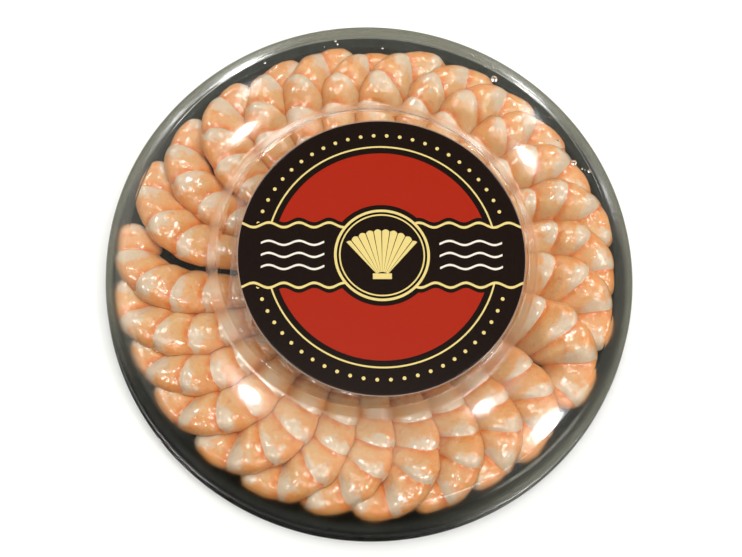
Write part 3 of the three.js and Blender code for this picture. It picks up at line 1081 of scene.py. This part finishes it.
FILM_STEPS_X = 120
FILM_STEPS_Y = 80
FILM_SEAM_HALF = 0.18
CRIMP_WIDTH = 7.0  # of the sealed ends
CRIMP_PITCH = 1.3
CRIMP_HEIGHT = 0.14
FILM_PUCKER = 0.55  # height of the creases that run in from the seams
PUCKER_RANGE = (0.35, 0.9)
FILL_POWER = 0.7  # below 1: fuller than a plain dome
SAUCE_MARGIN = 0.12  # film over the sauce
SAUCE_EDGE_RISE = 6
SAUCE_SHARE = 0.8  # of the length and width


def pouch(half_thickness, share):
    """The skin of a pouch over the given share of the sachet's length and width."""
    across, along = np.meshgrid(
        np.linspace(-1, 1, FILM_STEPS_X + 1), np.linspace(-1, 1, FILM_STEPS_Y + 1), indexing="ij")
    u, v = across * share, along * share
    half = half_thickness(SACHET_BULGE * fill_share(u, v) ** FILL_POWER, fill_share(across, along))
    middle = SACHET_SEAM_HEIGHT - SACHET_SAG * (1 - u ** 2) + film_relief(u, v)
    x = u * SACHET_LENGTH / 2
    y = v * SACHET_WIDTH / 2
    turn = radians(SACHET_TURN)
    plan_x = SACHET_CENTRE_X + x * cos(turn) - y * sin(turn)
    plan_y = SACHET_CENTRE_Y + x * sin(turn) + y * cos(turn)
    top = np.stack([plan_x, plan_y, middle + half], axis=2)
    bottom = np.stack([plan_x, plan_y, middle - half], axis=2)
    return closed_pouch(top, bottom)


def closed_pouch(top, bottom):
    """Points and faces of two grids joined round their edges."""
    points = np.concatenate([top.reshape(-1, 3), bottom.reshape(-1, 3)])
    under = len(points) // 2
    number = np.arange(under).reshape(top.shape[:2])
    faces = []
    for row, following in zip(number[:-1].tolist(), number[1:].tolist()):
        for a, b in zip(row[:-1], following[:-1]):
            faces.append((a, b, b + 1, a + 1))
            faces.append((under + a, under + a + 1, under + b + 1, under + b))
    sides = [number[:-1, 0], number[-1, :-1], number[:0:-1, -1], number[0, :0:-1]]
    rim = np.concatenate(sides).tolist()
    for a, b in zip(rim, rim[1:] + rim[:1]):
        faces.append((a, under + a, under + b, b))
    return points, faces


def fill_share(u, v):
    return np.maximum(0, 1 - u ** 2) * np.maximum(0, 1 - v ** 2)


def film_relief(u, v):
    """Crimped ends, and creases that fade towards the full middle."""
    from_end = (1 - np.abs(u)) * SACHET_LENGTH / 2
    crimp = 1 - smooth(from_end, CRIMP_WIDTH - 0.6, CRIMP_WIDTH)
    ridges = np.sin(2 * np.pi * from_end / CRIMP_PITCH) * CRIMP_HEIGHT * crimp
    creases = np.sin(v * 23 + 2 * np.sin(u * 5)) * np.sin(u * 9 + 1.7 * np.sin(v * 4))
    near_seam = smooth(1 - fill_share(u, v), *PUCKER_RANGE) * (1 - crimp)
    return ridges + FILM_PUCKER * creases * near_seam


def film_half(bulge, off_edge):
    return FILM_SEAM_HALF + bulge


def sauce_half(bulge, off_edge):
    edge = np.minimum(1, SAUCE_EDGE_RISE * off_edge) ** 0.5
    return 0.02 + np.maximum(0, bulge - SAUCE_MARGIN) * edge


def add_sachet():
    film = make_piece("sachet_film", pouch(film_half, 1.0), clear_film())
    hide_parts("sauce_sachet")
    make_piece("sachet_sauce", pouch(sauce_half, SAUCE_SHARE), red_sauce())


# ----- drops of water on the lid

# Bearing, radius and size of the largest drops.
LARGE_DROPS = [
    (33.3, 86.6, 2.6),
    (63.5, 85.5, 2.2),
    (31.0, 91.5, 1.6),
    (25.5, 92.0, 1.4),
    (66.8, 89.5, 1.3),
]
SMALL_DROPS = 44
SMALL_DROP_LIMITS = ((-40, 110), (84, 97), (0.35, 0.9))  # of the same three
DROP_FLATNESS = 0.42  # height against width
DROP_LIFT = 0.01
DROP_SIDES = 14
DROP_RINGS = 6
DROP_SEED = 11


def drop_skin(turn, radius, size):
    """Points and faces of one drop, a low cap with a flat base on the lid's slope."""
    point, normal = lid_point(turn, radius)
    across = bearing(turn + 90)
    uphill = normal.cross(across)
    foot = point + normal * DROP_LIFT
    angles = [2 * pi * side / DROP_SIDES for side in range(DROP_SIDES)]
    rings = [[foot] * DROP_SIDES]
    for ring in range(DROP_RINGS + 1):
        rise = pi / 2 * ring / DROP_RINGS
        ring_radius = size / 2 * cos(rise)
        lift = size * DROP_FLATNESS * sin(rise)
        rings.append([foot + across * (ring_radius * cos(a)) + uphill * (ring_radius * sin(a))
                      + normal * lift for a in angles])
    return closed_skin(np.array(rings))


def add_drops():
    chance = random.Random(DROP_SEED)
    drops = list(LARGE_DROPS)
    for _ in range(SMALL_DROPS):
        drops.append([chance.uniform(*limits) for limits in SMALL_DROP_LIMITS])
    points, faces = [], []
    for drop in drops:
        drop_points, drop_faces = drop_skin(*drop)
        faces += [tuple(corner + len(points) for corner in face) for face in drop_faces]
        points += drop_points.tolist()
    make_piece("lid_water_drops", (points, faces), water())


# ----- view, lamps and floor

def camera_axes():
    """The camera's right, its up and the direction back towards it."""
    tilt, side = radians(CAMERA_TILT), radians(CAMERA_SIDE)
    towards = Vector((-sin(tilt) * sin(side), -sin(tilt) * cos(side), cos(tilt)))
    right = (Vector((1, 0, 0)) - towards * towards.x).normalized()
    return right, towards.cross(right), towards


def camera_position():
    """In millimetres."""
    return Vector(CAMERA_TARGET) + camera_axes()[2] * CAMERA_DISTANCE


def posed(place, axes):
    """The matrix of an object at a place in millimetres, with its own axes turned to these."""
    return Matrix.Translation(place * MM) @ Matrix(axes).transposed().to_4x4()


def add_camera():
    camera = put_in_scene("camera", bpy.data.cameras.new("camera"))
    camera.data.sensor_width = SENSOR_WIDTH
    camera.data.lens = SENSOR_WIDTH * FOCAL_PIXELS / IMAGE_WIDTH
    camera.matrix_world = posed(camera_position(), camera_axes())
    bpy.context.scene.camera = camera


def add_lamp(name, place, target, sideways, width, height, radiance):
    """A flat lamp at a place in millimetres that faces the target."""
    light = bpy.data.lights.new(name, "AREA")
    light.shape = "ELLIPSE"
    light.size = width * MM
    light.size_y = height * MM
    light.energy = radiance * pi * (pi / 4 * light.size * light.size_y)
    away = (place - target).normalized()
    across = (sideways - away * sideways.dot(away)).normalized()
    lamp = put_in_scene(name, light)
    lamp.matrix_world = posed(place, (across, away.cross(across), away))
    return lamp


def add_glint_lamps():
    """Puts each soft-edged lamp where the lid mirrors it to the camera at its glint."""
    for number, (turn, radius, along, across, radiance) in enumerate(GLINTS):
        point, normal = lid_point(turn, radius)
        view = (camera_position() - point).normalized()
        mirrored = 2 * normal.dot(view) * normal - view
        for layer, (scale, share) in enumerate(LAMP_LAYERS):
            place = point + mirrored * (LAMP_DISTANCE + 10 * layer)
            add_lamp(f"lamp_{number + 1}_{layer + 1}", place, point, bearing(turn + 90),
                     along * scale, across * scale, radiance * share)


def add_fill(name, radiance):
    """A soft overhead light that leaves no mirror image of itself on the lid."""
    place = Vector((0, 0, FILL_HEIGHT))
    lamp = add_lamp(name, place, Vector((0, 0, 0)), bearing(90), FILL_SIZE, FILL_SIZE, radiance)
    lamp.visible_glossy = False
    lamp.visible_transmission = False
    return lamp


def add_prawn_lights():
    """Lights for the wet prawns alone, which no other piece mirrors."""
    prawns = bpy.data.collections.new("lit_prawns")
    for piece in bpy.data.objects:
        if piece.name.startswith("prawn_body"):
            prawns.objects.link(piece)
    add_fill("prawn_fill", PRAWN_FILL_RADIANCE).light_linking.receiver_collection = prawns
    for number, (turn, height) in enumerate(SHEEN_LAMPS):
        rise = radians(height)
        place = (bearing(turn) * cos(rise) + Vector((0, 0, sin(rise)))) * LAMP_DISTANCE
        lamp = add_lamp(f"sheen_{number + 1}", place, Vector((0, 0, 0)), bearing(turn + 90),
                        SHEEN_SIZE, SHEEN_SIZE, SHEEN_RADIANCE)
        lamp.visible_diffuse = False
        lamp.data.cycles.use_multiple_importance_sampling = False
        lamp.light_linking.receiver_collection = prawns


def sector(x, y, side, reach, outwards, inwards):
    """1 for directions or places in plan near a bearing, with a soft edge in cosines."""
    ahead = bearing(side)
    length = (x * x + y * y).root().at_least(1e-4)
    edge = cos(radians(reach))
    return ((x * ahead.x + y * ahead.y) / length).ramp(edge - outwards, edge + inwards)


def room_light(x, y, z):
    """The light that comes from a direction: less low down, and little from the shaded side."""
    dark = sector(x, y, *DARK_SIDE) * z.fade(*DARK_SIDE_TOP) * DARK_SIDE_DEPTH
    ceiling = z.ramp(*CEILING_FADE, 1.0, OVERHEAD_SHARE)
    walls = z.ramp(*WALL_RISE, WALL_SHARE, 1.0)
    window = sector(x, y, *WINDOW) * z.fade(*WINDOW_TOP) * WINDOW_LIGHT
    patch = z.ramp(*ZENITH_EDGE) * ZENITH_LIGHT
    low_window = sector(x, y, *LOW_WINDOW) * z.ramp(*LOW_WINDOW_FOOT)
    low_window = low_window * z.fade(*LOW_WINDOW_TOP) * LOW_WINDOW_LIGHT
    return (1 - dark) * ceiling * walls * ROOM_LIGHT + window + patch + low_window


def set_world():
    world = bpy.data.worlds.new("room")
    bpy.context.scene.world = world
    world.use_nodes = True
    tree = world.node_tree
    direction = tree.nodes.new("ShaderNodeTexCoord").outputs["Generated"]
    background = tree.nodes["Background"]
    background.inputs["Color"].default_value = ROOM_COLOUR
    feed(tree, background.inputs["Strength"], room_light(*axes_of(tree, direction)))


def add_floor():
    """A pale floor, which the glossy pack mirrors darker and darkest on the viewer's side."""
    finish = Finish("pale_floor")
    path = finish.tree.nodes.new("ShaderNodeLightPath")
    mirrored = finish.mix(sector(finish.x, finish.y, *DARK_SIDE), FLOOR_MIRRORED, FLOOR_SHADED)
    colour = finish.mix(path.outputs["Is Camera Ray"], mirrored, FLOOR_SEEN)
    finish.set(Base_Color=colour, Roughness=0.9, Specular_IOR_Level=0.0)
    sides = ((-1, -1), (1, -1), (1, 1), (-1, 1))
    corners = [(x * FLOOR_HALF, y * FLOOR_HALF, FLOOR_HEIGHT) for x, y in sides]
    floor = smooth_mesh("floor", (corners, [(0, 1, 2, 3)]), finish.material)


def set_colours():
    scene = bpy.context.scene
    scene.view_settings.view_transform = "Standard"
    scene.cycles.caustics_reflective = False
    scene.cycles.caustics_refractive = False
    scene.cycles.sample_clamp_indirect = 24.0
    scene.cycles.max_bounces = 10
    scene.cycles.diffuse_bounces = 5
    scene.cycles.use_denoising = True


# ----- the scene

add_camera()
add_tray()
add_lid()
add_label()
add_prawns()
add_sachet()
add_drops()
add_glint_lamps()
add_fill("fill", FILL_RADIANCE)
add_prawn_lights()
set_world()
add_floor()
set_colours()
